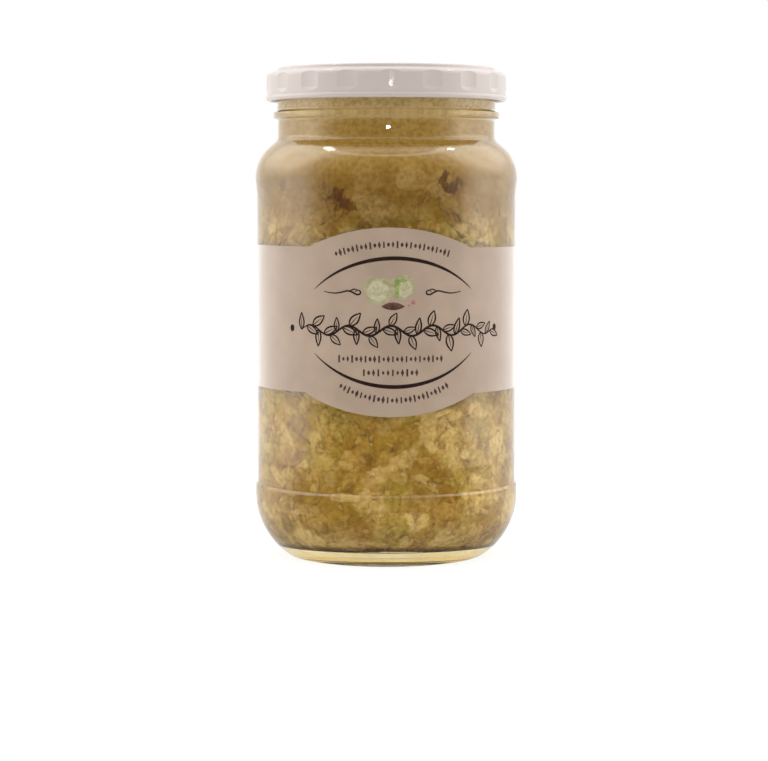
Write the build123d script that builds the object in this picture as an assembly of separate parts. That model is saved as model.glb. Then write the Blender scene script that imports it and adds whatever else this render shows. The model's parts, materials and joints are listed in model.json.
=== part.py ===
from build123d import *
import math
import os

# A glass jar of sauerkraut with a twist-off metal lid and a wrap-around paper label.
# Lengths are in millimetres and angles in degrees. The origin is the centre of the base,
# +Z is up along the jar's axis, and the label faces -Y.

# Glass body
jar_height = 148.2         # standing ring to sealing rim
stand_outer = 29.6         # standing ring, where the heel leaves it
stand_inner = 27.2
stand_round = 2.0
stand_inner_round = 1.0
push_up = 2.6              # how far the underside is domed in
push_up_radius = 12.0      # flat middle of that dome
push_up_round = 30.0
heel_radius = 40.3         # widest ring, under the label panel
heel_height = 20.0         # where the heel's curve turns upright
panel_recess = 0.65        # label panel under the heel's radius
panel_bottom = 22.0
panel_step = 0.7           # height of the step from heel to panel
panel_step_round = 0.35
rim_to_panel = 37.2        # sealing rim down to the label panel's top
shoulder_recess = 0.15     # shoulder under the heel's radius
shoulder_blend = 4.5       # height of the slope from panel to shoulder
shoulder_bend = 12.5       # round of the shoulder
shoulder_lean = 50.0       # slope of the shoulder's upper end, from upright
rim_to_neck = 20.5         # sealing rim down to where shoulder and neck would meet unrounded
neck_recess = 0.25         # neck under the thread wall's radius
neck_round = 2.0

# Glass thickness
wall = 2.35                # body and shoulder
finish_wall = 2.9          # neck and rim
floor_height = 4.0         # lowest ring of the inner floor
floor_rise = 1.6           # inner floor's dome over that ring
floor_flat_radius = 9.0
floor_ring_radius = 23.0
floor_round = 12.0
inner_heel_round = 12.0

# Glass finish: bead, thread wall and sealing rim
finish_radius = 33.45      # thread wall
bead_proud = 1.2           # bead over the thread wall
bead_height = 1.6          # upright face of the bead
bead_slope = 0.6
bead_round = 0.8
bead_gap = 3.5             # lid's lower edge to the bead
rim_outer_round = 1.8
rim_inner_round = 0.9

# Threads: short right-hand ribs that the lid's lugs hook under
thread_count = 4
thread_section = 1.15      # radius of the rib's round section
thread_proud = 1.4         # ribs over the thread wall
thread_span = 100.0        # turn that one rib covers
thread_rise = 4.5          # climb of one rib over its span
thread_low_angle = -134.7  # direction of the first rib's lower end

# Lid
lid_height = 10.1
lid_sheet = 0.45           # metal with its coating
lid_seal = 1.2             # sheet and sealing compound over the rim
skirt_clearance = 0.95     # ribs to the skirt's inside
skirt_wall = 0.8
skirt_round = 1.8
curl_proud = 0.25          # rolled edge over the skirt
curl_section = 0.9
top_ring_reach = 0.15      # ring's outer edge over the thread wall
top_ring_width = 3.7
top_ring_proud = 1.3       # ring above the lid's shoulder
top_ring_slope = 0.5
top_ring_round = 0.6
panel_drop = 0.75          # lid's middle below its ring
button_radius = 14.0
button_rise = 0.35
button_slope = 1.0
flute_count = 18
flute_first = -90.0        # direction of one flute's middle
flute_depth = 0.35
flute_round = 24.0
flute_start = 2.2          # lid's lower edge to the flutes
flute_runout = 1.2
lug_count = thread_count
lug_width = 11.0           # turn that one lug covers
lug_height = 1.3
lug_lift = 0.2             # lug above the lid's lower edge
lug_turn = 34.2            # from a rib's middle to the lug under it
lug_clearance = 0.35       # lug to thread wall
thread_clearance = 0.05    # lug to the rib above it

# Contents and label
headspace = 6.7            # sealing rim down to the contents
fill_clearance = 0.05      # contents to glass
label_thickness = 0.12
label_lift = 6.75          # middle of the oval over the label panel's middle
strip_height = 43.1
strip_lift = 0.35          # middle of the strip over the oval's
label_gap = 14.0           # bare glass at the back, between the label's ends
label_tilt = 0.4           # label put on slightly askew
oval_height = 55.5
oval_width = 77.6          # whole oval seen from the front; the strip covers its ends

# Share of a straight run that its two rounds may use
run_share = 0.98

# Radii and heights that follow from the values above
panel_radius = heel_radius - panel_recess
panel_top = jar_height - rim_to_panel
shoulder_radius = heel_radius - shoulder_recess
neck_radius = finish_radius - neck_recess
neck_base = jar_height - rim_to_neck
thread_radius = finish_radius + thread_proud
skirt_radius = thread_radius + skirt_clearance + skirt_wall
curl_radius = skirt_radius + curl_proud
lid_top = jar_height + lid_seal
lid_bottom = lid_top - lid_height
lug_top = lid_bottom + lug_lift + lug_height
fill_level = jar_height - headspace
label_middle = (panel_bottom + panel_step + panel_top) / 2 + label_lift


def turn_at(before, corner, after):
    """Angle by which the outline turns at a corner, in radians."""
    way_in = Vector(corner[0] - before[0], corner[1] - before[1])
    way_out = Vector(after[0] - corner[0], after[1] - corner[1])
    return math.radians(way_in.get_angle(way_out))


def revolved(corners):
    """Solid of revolution from (radius, height, round) corners, rounds limited to their runs."""
    count = len(corners)
    tangents = []
    slopes = []
    for index, corner in enumerate(corners):
        turn = turn_at(corners[index - 1], corner, corners[(index + 1) % count])
        slopes.append(math.tan(turn / 2))
        tangents.append(corner[2] * slopes[index])
    for index, corner in enumerate(corners):
        following = (index + 1) % count
        run = math.dist(corner[:2], corners[following][:2]) * run_share
        used = tangents[index] + tangents[following]
        if used > run:
            tangents[index] *= run / used
            tangents[following] *= run / used
    rounds = [tangent / slope for tangent, slope in zip(tangents, slopes)]
    points = [(radius, height) for radius, height, _ in corners]
    outline = FilletPolyline(*points, radius=rounds, close=True)
    return revolve(Plane.XZ * make_face(outline), axis=Axis.Z)


def heel_corner():
    """Height and round of the heel, one arc from the standing ring to the upright wall."""
    flare = heel_radius - stand_outer
    tangent = (flare ** 2 + heel_height ** 2) / (2 * heel_height)
    corner_height = heel_height - tangent
    lean = math.atan2(flare, corner_height)
    # The arc stops short of its corner by about what the standing ring's own round takes.
    return corner_height, (tangent - stand_inner_round) / math.tan(lean / 2)


def shoulder_height(radius, depth):
    """Height of the sloping shoulder at a radius, at a depth into the glass."""
    lean = math.radians(shoulder_lean)
    return neck_base + (neck_radius - radius) / math.tan(lean) - depth / math.sin(lean)


def cavity(gap, top):
    """Corners of the space inside the glass, shrunk by a gap and closed at a height."""
    bore = finish_radius - finish_wall - gap
    body = panel_radius - wall - gap
    depth = wall + gap
    floor = floor_height + gap
    return [
        (0, floor + floor_rise, 0),
        (floor_flat_radius, floor + floor_rise, floor_round),
        (floor_ring_radius, floor, floor_round),
        (body, floor, inner_heel_round),
        (body, shoulder_height(body, depth), shoulder_bend - wall),
        (bore, shoulder_height(bore, depth), neck_round + wall),
        (bore, top, 0),
    ]


def make_threads():
    """The thread ribs: arcs of a ring, each tipped so that it climbs to the right."""
    ring_radius = thread_radius - thread_section
    tilt = thread_tilt()
    ribs = []
    for index in range(thread_count):
        middle = thread_low_angle + thread_span / 2 + index * 360 / thread_count
        arc = Torus(ring_radius, thread_section, major_angle=thread_span, align=None)
        rib = Rot(Z=-thread_span / 2) * arc
        for end in (-thread_span / 2, thread_span / 2):
            rib += Rot(Z=end) * Pos(ring_radius, 0, 0) * Sphere(thread_section)
        ribs.append(Pos(0, 0, thread_middle()) * Rot(Z=middle) * Rot(X=tilt) * rib)
    return ribs


def thread_tilt():
    half_reach = (thread_radius - thread_section) * math.sin(math.radians(thread_span / 2))
    return math.degrees(math.asin(thread_rise / 2 / half_reach))


def thread_middle():
    """Height of a rib's middle, so that the rib just clears the lug under it."""
    reach = (thread_radius - thread_section) * math.sin(math.radians(lug_turn))
    climb = reach * math.sin(math.radians(thread_tilt()))
    return lug_top + thread_clearance + thread_section - climb


def make_glass():
    heel_corner_height, heel_bend = heel_corner()
    bead_high = lid_bottom - bead_gap
    bead_low = bead_high - bead_height
    bead_radius = finish_radius + bead_proud
    bore = finish_radius - finish_wall
    outside = [
        (0, push_up, 0),
        (push_up_radius, push_up, push_up_round),
        (stand_inner, 0, stand_inner_round),
        (stand_outer, 0, stand_round),
        (heel_radius, heel_corner_height, heel_bend),
        (heel_radius, panel_bottom, panel_step_round),
        (panel_radius, panel_bottom + panel_step, panel_step_round),
        (panel_radius, panel_top, shoulder_blend),
        (shoulder_radius, panel_top + shoulder_blend, shoulder_blend),
        (shoulder_radius, shoulder_height(shoulder_radius, 0), shoulder_bend),
        (neck_radius, neck_base, neck_round),
        (neck_radius, bead_low - bead_slope, bead_slope),
        (bead_radius, bead_low, bead_round),
        (bead_radius, bead_high, bead_round),
        (finish_radius, bead_high + bead_slope, bead_slope),
        (finish_radius, jar_height, rim_outer_round),
        (bore, jar_height, rim_inner_round),
    ]
    inside = cavity(0, jar_height)[:-1]
    glass = revolved(outside + inside[::-1])
    for rib in make_threads():
        glass += rib
    return glass


def make_contents():
    return revolved(cavity(fill_clearance, fill_level) + [(0, fill_level, 0)])


def make_lid():
    shoulder = lid_top - top_ring_proud
    skirt_inner = skirt_radius - skirt_wall
    curl_middle = lid_bottom + curl_section
    panel = lid_top - panel_drop
    top_ring_outer = finish_radius + top_ring_reach
    top_ring_inner = top_ring_outer - top_ring_width
    channel = top_ring_outer - lid_sheet
    lid = revolved([
        (0, panel + button_rise, 0),
        (button_radius, panel + button_rise, top_ring_round),
        (button_radius + button_slope, panel, top_ring_round),
        (top_ring_inner, panel, top_ring_round),
        (top_ring_inner + top_ring_slope, lid_top, top_ring_round),
        (top_ring_outer - top_ring_slope, lid_top, top_ring_round),
        (top_ring_outer, shoulder, top_ring_round),
        (skirt_radius, shoulder, skirt_round),
        (skirt_radius, curl_middle, 0),
        (skirt_inner, curl_middle, 0),
        (skirt_inner, shoulder - lid_sheet, skirt_round - lid_sheet),
        (channel, shoulder - lid_sheet, lid_sheet),
        (channel, jar_height, lid_sheet),
        (button_radius + button_slope, jar_height, top_ring_round),
        (button_radius, jar_height + button_rise, top_ring_round),
        (0, jar_height + button_rise, 0),
    ])
    for index in range(flute_count):
        lid -= Rot(Z=flute_first + index * 360 / flute_count) * make_flute_cutter()
    lid += Pos(0, 0, curl_middle) * Torus(curl_radius - curl_section, curl_section)
    for index in range(lug_count):
        middle = thread_low_angle + thread_span / 2 + index * 360 / thread_count
        lid += Rot(Z=middle + lug_turn) * make_lug()
    return lid


def make_flute_cutter():
    """A round bar that scoops one flute out of the skirt and fades out at its lower end."""
    middle = skirt_radius - flute_depth + flute_round
    low = lid_bottom + flute_start
    straight = lid_height - flute_start
    runout = Cone(flute_round - flute_depth, flute_round, flute_runout)
    bar = Cylinder(flute_round, straight)
    cutter = Pos(0, 0, flute_runout / 2) * runout
    cutter += Pos(0, 0, flute_runout + straight / 2) * bar
    return Pos(middle, 0, low) * cutter


def make_lug():
    inner = finish_radius + lug_clearance
    outer = curl_radius - curl_section
    low = lid_bottom + lug_lift
    section = Pos((inner + outer) / 2, low + lug_height / 2) * Rectangle(outer - inner, lug_height)
    lug = revolve(Plane.XZ * section, axis=Axis.Z, revolution_arc=lug_width)
    return Rot(Z=-lug_width / 2) * lug


def make_label():
    """A thin band on the label panel with an oval that stands over the strip at the front."""
    outer = panel_radius + label_thickness
    reach = 2 * outer
    middle = Pos(0, 0, label_middle)
    band = middle * (Cylinder(outer, oval_height) - Cylinder(panel_radius, oval_height))
    strip = middle * Rot(Y=label_tilt) * Pos(0, 0, strip_lift) * Box(2 * reach, 2 * reach, strip_height)
    oval_face = Plane.XZ * Ellipse(oval_width / 2, oval_height / 2)
    oval = middle * Rot(Y=label_tilt) * extrude(oval_face, amount=reach)
    gap = middle * Pos(0, outer, 0) * Box(label_gap, outer, oval_height)
    return band & (strip + oval) - gap


parts = {
    "glass_jar": make_glass(),
    "sauerkraut": make_contents(),
    "lid": make_lid(),
    "label": make_label(),
}

os.makedirs("parts", exist_ok=True)
for name, solid in parts.items():
    export_step(solid, f"parts/{name}.step")
    print(name, round(solid.volume / 1000, 2), "cm3")
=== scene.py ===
import bpy
import json
import math
import random
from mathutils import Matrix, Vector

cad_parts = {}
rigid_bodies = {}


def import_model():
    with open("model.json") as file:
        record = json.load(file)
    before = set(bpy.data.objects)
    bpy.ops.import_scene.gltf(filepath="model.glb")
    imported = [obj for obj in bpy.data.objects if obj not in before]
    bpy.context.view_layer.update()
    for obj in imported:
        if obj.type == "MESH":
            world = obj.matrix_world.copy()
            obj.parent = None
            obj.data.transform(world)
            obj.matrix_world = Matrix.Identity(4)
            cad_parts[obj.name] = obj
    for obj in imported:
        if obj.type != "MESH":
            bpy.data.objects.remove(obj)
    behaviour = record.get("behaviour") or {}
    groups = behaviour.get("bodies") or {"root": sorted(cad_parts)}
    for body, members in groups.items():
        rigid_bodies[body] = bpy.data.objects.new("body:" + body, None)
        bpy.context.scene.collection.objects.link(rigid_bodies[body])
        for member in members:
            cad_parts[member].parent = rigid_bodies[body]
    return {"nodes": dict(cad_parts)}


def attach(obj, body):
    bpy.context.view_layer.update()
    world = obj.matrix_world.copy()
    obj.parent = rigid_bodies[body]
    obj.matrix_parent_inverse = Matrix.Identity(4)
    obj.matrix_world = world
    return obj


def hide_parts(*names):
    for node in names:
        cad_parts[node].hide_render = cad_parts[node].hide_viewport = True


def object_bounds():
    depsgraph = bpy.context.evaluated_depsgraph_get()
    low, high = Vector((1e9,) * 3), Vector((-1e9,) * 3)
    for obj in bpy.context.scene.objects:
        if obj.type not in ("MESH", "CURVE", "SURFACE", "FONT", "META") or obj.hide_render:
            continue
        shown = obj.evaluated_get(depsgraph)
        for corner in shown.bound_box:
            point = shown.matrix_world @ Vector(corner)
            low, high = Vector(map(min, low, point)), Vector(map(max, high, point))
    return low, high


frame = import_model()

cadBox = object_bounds()


def mm(value):
    return value / 1000


def hexColour(text):
    channels = [int(text[i:i + 2], 16) / 255 for i in (1, 3, 5)]
    linear = [c / 12.92 if c <= 0.04045 else ((c + 0.055) / 1.055) ** 2.4 for c in channels]
    return (*linear, 1)


def addNode(tree, kind, settings=None, inputs=None):
    # settings belong to the node; an input takes a plain value, an output, or a node for its first output
    node = tree.nodes.new(kind)
    for name, value in (settings or {}).items():
        if name == "stops":
            for spot, colour in value[2:]:
                node.color_ramp.elements.new(spot)
            for element, (spot, colour) in zip(node.color_ramp.elements, sorted(value)):
                element.position = spot
                element.color = hexColour(colour) if isinstance(colour, str) else (colour,) * 3 + (1,)
        else:
            setattr(node, name, value)
    for key, value in (inputs or {}).items():
        if isinstance(value, bpy.types.Node):
            value = value.outputs[0]
        if isinstance(value, bpy.types.NodeSocket):
            tree.links.new(value, node.inputs[key])
        else:
            node.inputs[key].default_value = value
    return node


def newMaterial(name):
    material = bpy.data.materials.new(name)
    material.use_nodes = True
    tree = material.node_tree
    tree.nodes.clear()
    output = addNode(tree, "ShaderNodeOutputMaterial")
    return material, tree, output.inputs["Surface"]


def clouded(tree, place, size, stops, detail=2.0, distortion=0.0):
    # colours in soft clouds of a real size in mm
    noise = addNode(tree, "ShaderNodeTexNoise", inputs={
        "Vector": place, "Scale": 1000 / size, "Detail": detail, "Distortion": distortion})
    return addNode(tree, "ShaderNodeValToRGB", {"stops": stops}, {0: noise})


def grained(tree, place, size, depth, strength, detail=2.0):
    # a normal for a fine relief, with its grain size and depth in mm
    noise = addNode(tree, "ShaderNodeTexNoise", inputs={
        "Vector": place, "Scale": 1000 / size, "Detail": detail})
    return addNode(tree, "ShaderNodeBump", inputs={
        "Height": noise, "Strength": strength, "Distance": mm(depth)})


def newGeometryTree(name, sizes):
    # sizes: input name -> (kind of socket, starting value)
    tree = bpy.data.node_groups.new(name, "GeometryNodeTree")
    tree.interface.new_socket("Geometry", in_out="INPUT", socket_type="NodeSocketGeometry")
    for label, (kind, value) in sizes.items():
        socket = tree.interface.new_socket(label, in_out="INPUT", socket_type="NodeSocket" + kind)
        if value is not None:
            socket.default_value = value
    tree.interface.new_socket("Geometry", in_out="OUTPUT", socket_type="NodeSocketGeometry")
    return tree, addNode(tree, "NodeGroupInput").outputs, addNode(tree, "NodeGroupOutput").inputs[0]


def endTree(tree, geometry, skin, result):
    # every tree ends in plain geometry with its material, because the export drops instances
    real = addNode(tree, "GeometryNodeRealizeInstances", inputs={"Geometry": geometry})
    dressed = addNode(tree, "GeometryNodeSetMaterial", inputs={"Geometry": real, "Material": skin})
    tree.links.new(dressed.outputs[0], result)


def plainMesh(start, tree, values, name):
    # runs a tree on an object and keeps its result as a plain mesh object
    modifier = start.modifiers.new(tree.name, "NODES")
    modifier.node_group = tree
    for item in tree.interface.items_tree:
        if item.in_out == "INPUT" and item.name in values:
            modifier[item.identifier] = values[item.name]
    bpy.context.view_layer.update()
    graph = bpy.context.evaluated_depsgraph_get()
    mesh = bpy.data.meshes.new_from_object(start.evaluated_get(graph), depsgraph=graph)
    start.modifiers.remove(modifier)
    mesh.name = name
    return addObject(name, mesh)


def addObject(name, data):
    thing = bpy.data.objects.new(name, data)
    bpy.context.scene.collection.objects.link(thing)
    return thing


def addMesh(name, points, faces, material=None, smooth=True):
    mesh = bpy.data.meshes.new(name)
    mesh.from_pydata(points, [], faces)
    mesh.polygons.foreach_set("use_smooth", [smooth] * len(faces))
    if material:
        mesh.materials.append(material)
    return addObject(name, mesh)


def discard(*things):
    for thing in things:
        bpy.data.objects.remove(thing, do_unlink=True)


def dress(thing, material):
    thing.data.materials.clear()
    thing.data.materials.append(material)


studio = {
    "distance": 752, "eyeHeight": 111.1, "turn": 1.7, "sideStep": -0.7, "pitch": 4.37, "lens": 114.4,
    # the tent: each pair is for shading, then as smooth surfaces mirror it
    "light": {
        "front": (0.75, 0.1), "side": (1.5, 1.15),   # strength behind the camera and at the sides
        "frontEdge": (-0.98, -0.75), "sideEdge": (-0.35, 0.05),   # where the front turns into the side
        "strip": (0.5, 0.4), "stripTop": (3.4, 0.5), "roof": (0.2, 0.0),   # what each adds
    },
    "stripAway": (0.12, 0.38), "stripRise": (0.1, 0.6), "roofRise": (0.35, 0.6),
    "lobeWay": (0.75, 0.35, 0.56), "lobeRange": (0.8, 0.97), "lobe": 1.15,
    "seamHigh": 0.87, "seamWide": 0.03, "seam": 0.8,
    # name, place, width, height and power in watts
    "glints": [("spark", (0.0, -0.78, 0.177), 0.07, 0.0026, 0.05),
               ("lowSpark", (0.005, -0.78, 0.151), 0.05, 0.002, 0.02),
               ("leftPanel", (-0.42, 0.1, 0.9), 0.22, 0.08, 0.5),
               ("rightPanel", (0.46, 0.12, 0.85), 0.12, 0.06, 0.25)],
    "floorRadius": 0.3, "floorSides": 120, "floorColour": "#f4f3f1",
    "floorShow": 0.8, "floorNear": 0.08,    # share that is plain white for the camera, and up to where
    "floorTurn": (-0.08, 0.05), "underGlow": (34, 60),
}


def makeCamera():
    turn = math.radians(studio["turn"])
    data = bpy.data.cameras.new("camera")
    data.sensor_width = 36
    data.lens = studio["lens"]
    data.clip_start = mm(10)
    camera = addObject("camera", data)
    away, aside = mm(studio["distance"]), mm(studio["sideStep"])
    camera.location = (-away * math.sin(turn) + aside * math.cos(turn),
                       -away * math.cos(turn) - aside * math.sin(turn), mm(studio["eyeHeight"]))
    camera.rotation_euler = (math.radians(90 - studio["pitch"]), 0, -turn)
    bpy.context.scene.camera = camera


def addGlint(name, place, width, height, power):
    # a narrow bar that is only seen mirrored
    data = bpy.data.lights.new(name, "AREA")
    data.shape = "RECTANGLE"
    data.size, data.size_y = width, height
    data.energy = power
    lamp = addObject(name, data)
    lamp.location = place
    low, high = cadBox
    aim = (low + high) / 2 - lamp.location
    lamp.rotation_euler = aim.to_track_quat("-Z", "Y").to_euler()
    lamp.visible_diffuse = False
    lamp.visible_transmission = False


def makeLight():
    # a white tent, open towards the camera, so the jar is brighter at its sides
    world = bpy.data.worlds.new("tent")
    bpy.context.scene.world = world
    world.use_nodes = True
    tree = world.node_tree
    tree.nodes.clear()
    way = addNode(tree, "ShaderNodeTexCoord").outputs["Generated"]
    axes = addNode(tree, "ShaderNodeSeparateXYZ", inputs={0: way})
    ray = addNode(tree, "ShaderNodeLightPath")
    glossy = ray.outputs["Is Glossy Ray"]
    light = {}
    for part, (shaded, mirrored) in studio["light"].items():
        light[part] = addNode(tree, "ShaderNodeMapRange", inputs={
            "Value": glossy, "To Min": shaded, "To Max": mirrored})
    total = addNode(tree, "ShaderNodeMapRange", {"interpolation_type": "SMOOTHSTEP"}, {
        "Value": axes.outputs["Y"], "From Min": light["frontEdge"], "From Max": light["sideEdge"],
        "To Min": light["front"], "To Max": light["side"]})
    # a tall strip of brighter cloth at each side, brighter still towards its top, and a brighter roof
    away = addNode(tree, "ShaderNodeMath", {"operation": "ABSOLUTE"}, {0: axes.outputs["Y"]})
    bands = {}
    for name, value, limits, low, high in (
            ("strip", away, studio["stripAway"], light["strip"], 0.0),
            ("high", axes.outputs["Z"], studio["stripRise"], 1.0, light["stripTop"]),
            ("roof", axes.outputs["Z"], studio["roofRise"], 0.0, light["roof"])):
        bands[name] = addNode(tree, "ShaderNodeMapRange", {"interpolation_type": "SMOOTHSTEP"}, {
            "Value": value, "From Min": limits[0], "From Max": limits[1], "To Min": low, "To Max": high})
    # mirrored only: a soft lobe up behind each side, which shows in the shoulder and the beads
    width = addNode(tree, "ShaderNodeMath", {"operation": "ABSOLUTE"}, {0: axes.outputs["X"]})
    folded = addNode(tree, "ShaderNodeCombineXYZ", inputs={
        0: width, 1: axes.outputs["Y"], 2: axes.outputs["Z"]})
    near = addNode(tree, "ShaderNodeVectorMath", {"operation": "DOT_PRODUCT"}, {
        0: folded, 1: studio["lobeWay"]})
    lobe = addNode(tree, "ShaderNodeMapRange", {"interpolation_type": "SMOOTHSTEP"}, {
        "Value": near.outputs["Value"], "From Min": studio["lobeRange"][0],
        "From Max": studio["lobeRange"][1], "To Min": 0.0, "To Max": studio["lobe"]})
    # and a thin seam of light round the roof, which draws the line on the shoulder
    seam = addNode(tree, "ShaderNodeMath", {"operation": "COMPARE"}, {
        0: axes.outputs["Z"], 1: studio["seamHigh"], 2: studio["seamWide"]})
    seam = addNode(tree, "ShaderNodeMath", {"operation": "MULTIPLY"}, {0: seam, 1: studio["seam"]})
    for part, share in ((bands["strip"], bands["high"]), (bands["roof"], 1.0),
                        (lobe, glossy), (seam, glossy)):
        total = addNode(tree, "ShaderNodeMath", {"operation": "MULTIPLY_ADD"}, {
            0: part, 1: share, 2: total})
    room = addNode(tree, "ShaderNodeBackground", inputs={"Color": (1, 1, 1, 1), "Strength": total})
    plain = addNode(tree, "ShaderNodeBackground", inputs={"Color": (1, 1, 1, 1)})
    mixed = addNode(tree, "ShaderNodeMixShader", inputs={
        0: ray.outputs["Is Camera Ray"], 1: room, 2: plain})
    addNode(tree, "ShaderNodeOutputWorld", inputs={"Surface": mixed})
    for name, place, width, height, power in studio["glints"]:
        addGlint(name, place, width, height, power)


def makeFloor():
    # white sweep: plain white for the camera, with the jar's soft shadow left in near it
    material, tree, surface = newMaterial("paintedSweep")
    matte = addNode(tree, "ShaderNodeBsdfDiffuse", inputs={"Color": hexColour(studio["floorColour"])})
    place = addNode(tree, "ShaderNodeTexCoord").outputs["Object"]
    ray = addNode(tree, "ShaderNodeLightPath").outputs
    reach = addNode(tree, "ShaderNodeVectorMath", {"operation": "LENGTH"}, {0: place}).outputs["Value"]
    fade = addNode(tree, "ShaderNodeMapRange", inputs={
        "Value": reach, "From Min": studio["floorNear"], "From Max": studio["floorRadius"],
        "To Min": studio["floorShow"], "To Max": 1.0})
    # mirrored it is as dark in front of the jar as the tent is there
    side = addNode(tree, "ShaderNodeSeparateXYZ", inputs={0: place})
    mirrored = addNode(tree, "ShaderNodeMapRange", {"interpolation_type": "SMOOTHSTEP"}, {
        "Value": side.outputs["Y"], "From Min": studio["floorTurn"][0], "From Max": studio["floorTurn"][1],
        "To Min": studio["light"]["front"][1], "To Max": 1.0})
    strength = addNode(tree, "ShaderNodeMix", inputs={0: ray["Is Glossy Ray"], 2: 1.0, 3: mirrored})
    glow = addNode(tree, "ShaderNodeEmission", inputs={"Color": (1, 1, 1, 1), "Strength": strength})
    # the sweep glows under the jar's foot, as a light table does
    under = addNode(tree, "ShaderNodeMapRange", inputs={
        "Value": reach, "From Min": mm(studio["underGlow"][0]), "From Max": mm(studio["underGlow"][1]),
        "To Min": 1.0, "To Max": 0.0})
    share = ray["Is Glossy Ray"]
    for kind, amount in (("Is Camera Ray", fade), ("Is Diffuse Ray", under)):
        either = addNode(tree, "ShaderNodeMath", {"operation": "MAXIMUM"}, {
            0: ray[kind], 1: ray["Is Transmission Ray"]})
        shown = addNode(tree, "ShaderNodeMath", {"operation": "MULTIPLY"}, {0: either, 1: amount})
        share = addNode(tree, "ShaderNodeMath", {"operation": "MAXIMUM"}, {0: shown, 1: share})
    mixed = addNode(tree, "ShaderNodeMixShader", inputs={0: share, 1: matte, 2: glow})
    tree.links.new(mixed.outputs[0], surface)
    turns = [2 * math.pi * i / studio["floorSides"] for i in range(studio["floorSides"])]
    rim = [(studio["floorRadius"] * math.cos(turn), studio["floorRadius"] * math.sin(turn), 0)
           for turn in turns]
    floor = addMesh("floor", rim, [tuple(range(studio["floorSides"]))], material, smooth=False)


makeCamera()
makeLight()
makeFloor()
print("studio ready")

cavity = {
    "wall": 2.35, "body": 37.3, "bore": 30.55, "floor": 4.0, "floorRise": 1.6, "floorFlat": 9,
    "floorRing": 23, "floorRound": 12, "heelRound": 12, "shoulderRound": 10.15, "neckRound": 4.35,
    "neckBase": 127.7, "neckRadius": 33.2, "lean": 50, "level": 141.5, "edge": 0.4,
}


def roundedLine(corners):
    # (radius, height, round) corners to points, with each round as a short arc
    points = []
    for index, (x, z, bend) in enumerate(corners):
        if bend == 0 or index in (0, len(corners) - 1):
            points.append((x, z))
            continue
        before, after = corners[index - 1], corners[index + 1]
        inWay = (x - before[0], z - before[1])
        outWay = (after[0] - x, after[1] - z)
        inLong, outLong = math.hypot(*inWay), math.hypot(*outWay)
        inWay = (inWay[0] / inLong, inWay[1] / inLong)
        outWay = (outWay[0] / outLong, outWay[1] / outLong)
        turn = math.atan2(inWay[0] * outWay[1] - inWay[1] * outWay[0],
                          inWay[0] * outWay[0] + inWay[1] * outWay[1])
        share = 0.98 if bend > 9 else 0.49   # a large round may use nearly all of a run
        cut = min(bend * math.tan(abs(turn) / 2), share * inLong, share * outLong)
        steps = max(3, int(abs(turn) / math.radians(6)))
        bend = cut / math.tan(abs(turn) / 2)
        side = 1 if turn > 0 else -1
        startX, startZ = x - inWay[0] * cut, z - inWay[1] * cut
        centreX, centreZ = startX - side * inWay[1] * bend, startZ + side * inWay[0] * bend
        for step in range(steps + 1):
            angle = turn * step / steps
            dx, dz = startX - centreX, startZ - centreZ
            points.append((centreX + dx * math.cos(angle) - dz * math.sin(angle),
                           centreZ + dx * math.sin(angle) + dz * math.cos(angle)))
    return points


def cavityLine(inset, level, lift=0.0):
    # outline of the space inside the glass, pulled in from it by an inset
    c = cavity
    body, bore, floor = c["body"] - inset, c["bore"] - inset, c["floor"] + inset + lift
    lean = math.radians(c["lean"])
    foot, head = [c["neckBase"] + (c["neckRadius"] - radius) / math.tan(lean)
                  - (c["wall"] + inset) / math.sin(lean) for radius in (body, bore)]
    return roundedLine([
        (0, floor + c["floorRise"], 0), (c["floorFlat"], floor + c["floorRise"], c["floorRound"]),
        (c["floorRing"], floor, c["floorRound"]), (body, floor, c["heelRound"] - inset),
        (body, foot, c["shoulderRound"] - inset), (bore, head, c["neckRound"] + inset),
        (bore, level - c["edge"], 0), (bore - c["edge"], level, 0), (0, level, 0)])


def evenLine(points, spacing):
    # the same line with points at an even spacing
    result = [points[0]]
    for (x0, z0), (x1, z1) in zip(points, points[1:]):
        parts = max(1, round(math.hypot(x1 - x0, z1 - z0) / spacing))
        result += [(x0 + (x1 - x0) * i / parts, z0 + (z1 - z0) * i / parts)
                   for i in range(1, parts + 1)]
    return result


def lathe(name, outline, segments, material=None):
    # outline from the axis up the outside and back to the axis; faces look outwards
    points, faces, rings = [], [], []
    for radius, height in outline:
        if radius < 1e-6:
            rings.append([len(points)] * segments)
            points.append((0, 0, mm(height)))
        else:
            rings.append(list(range(len(points), len(points) + segments)))
            points += [(mm(radius) * math.cos(2 * math.pi * i / segments),
                        mm(radius) * math.sin(2 * math.pi * i / segments), mm(height))
                       for i in range(segments)]
    for low, high in zip(rings, rings[1:]):
        for i in range(segments):
            j = (i + 1) % segments
            faces.append(tuple(dict.fromkeys((low[i], low[j], high[j], high[i]))))   # no doubled corner
    return addMesh(name, points, faces, material)


glass = {"ior": 1.52, "tint": "#f8faf6", "rippleSize": 14, "rippleStrength": 0.25, "rippleDepth": 0.02}


def letThrough(tree, body, surface, tint):
    # light reaches what is inside the glass and the brine without being cut off by them
    ray = addNode(tree, "ShaderNodeLightPath")
    passing = addNode(tree, "ShaderNodeMath", {"operation": "MAXIMUM"}, {
        0: ray.outputs["Is Shadow Ray"], 1: ray.outputs["Is Diffuse Ray"]})
    clear = addNode(tree, "ShaderNodeBsdfTransparent", inputs={"Color": hexColour(tint)})
    mixed = addNode(tree, "ShaderNodeMixShader", inputs={0: passing, 1: body, 2: clear})
    tree.links.new(mixed.outputs[0], surface)


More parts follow.
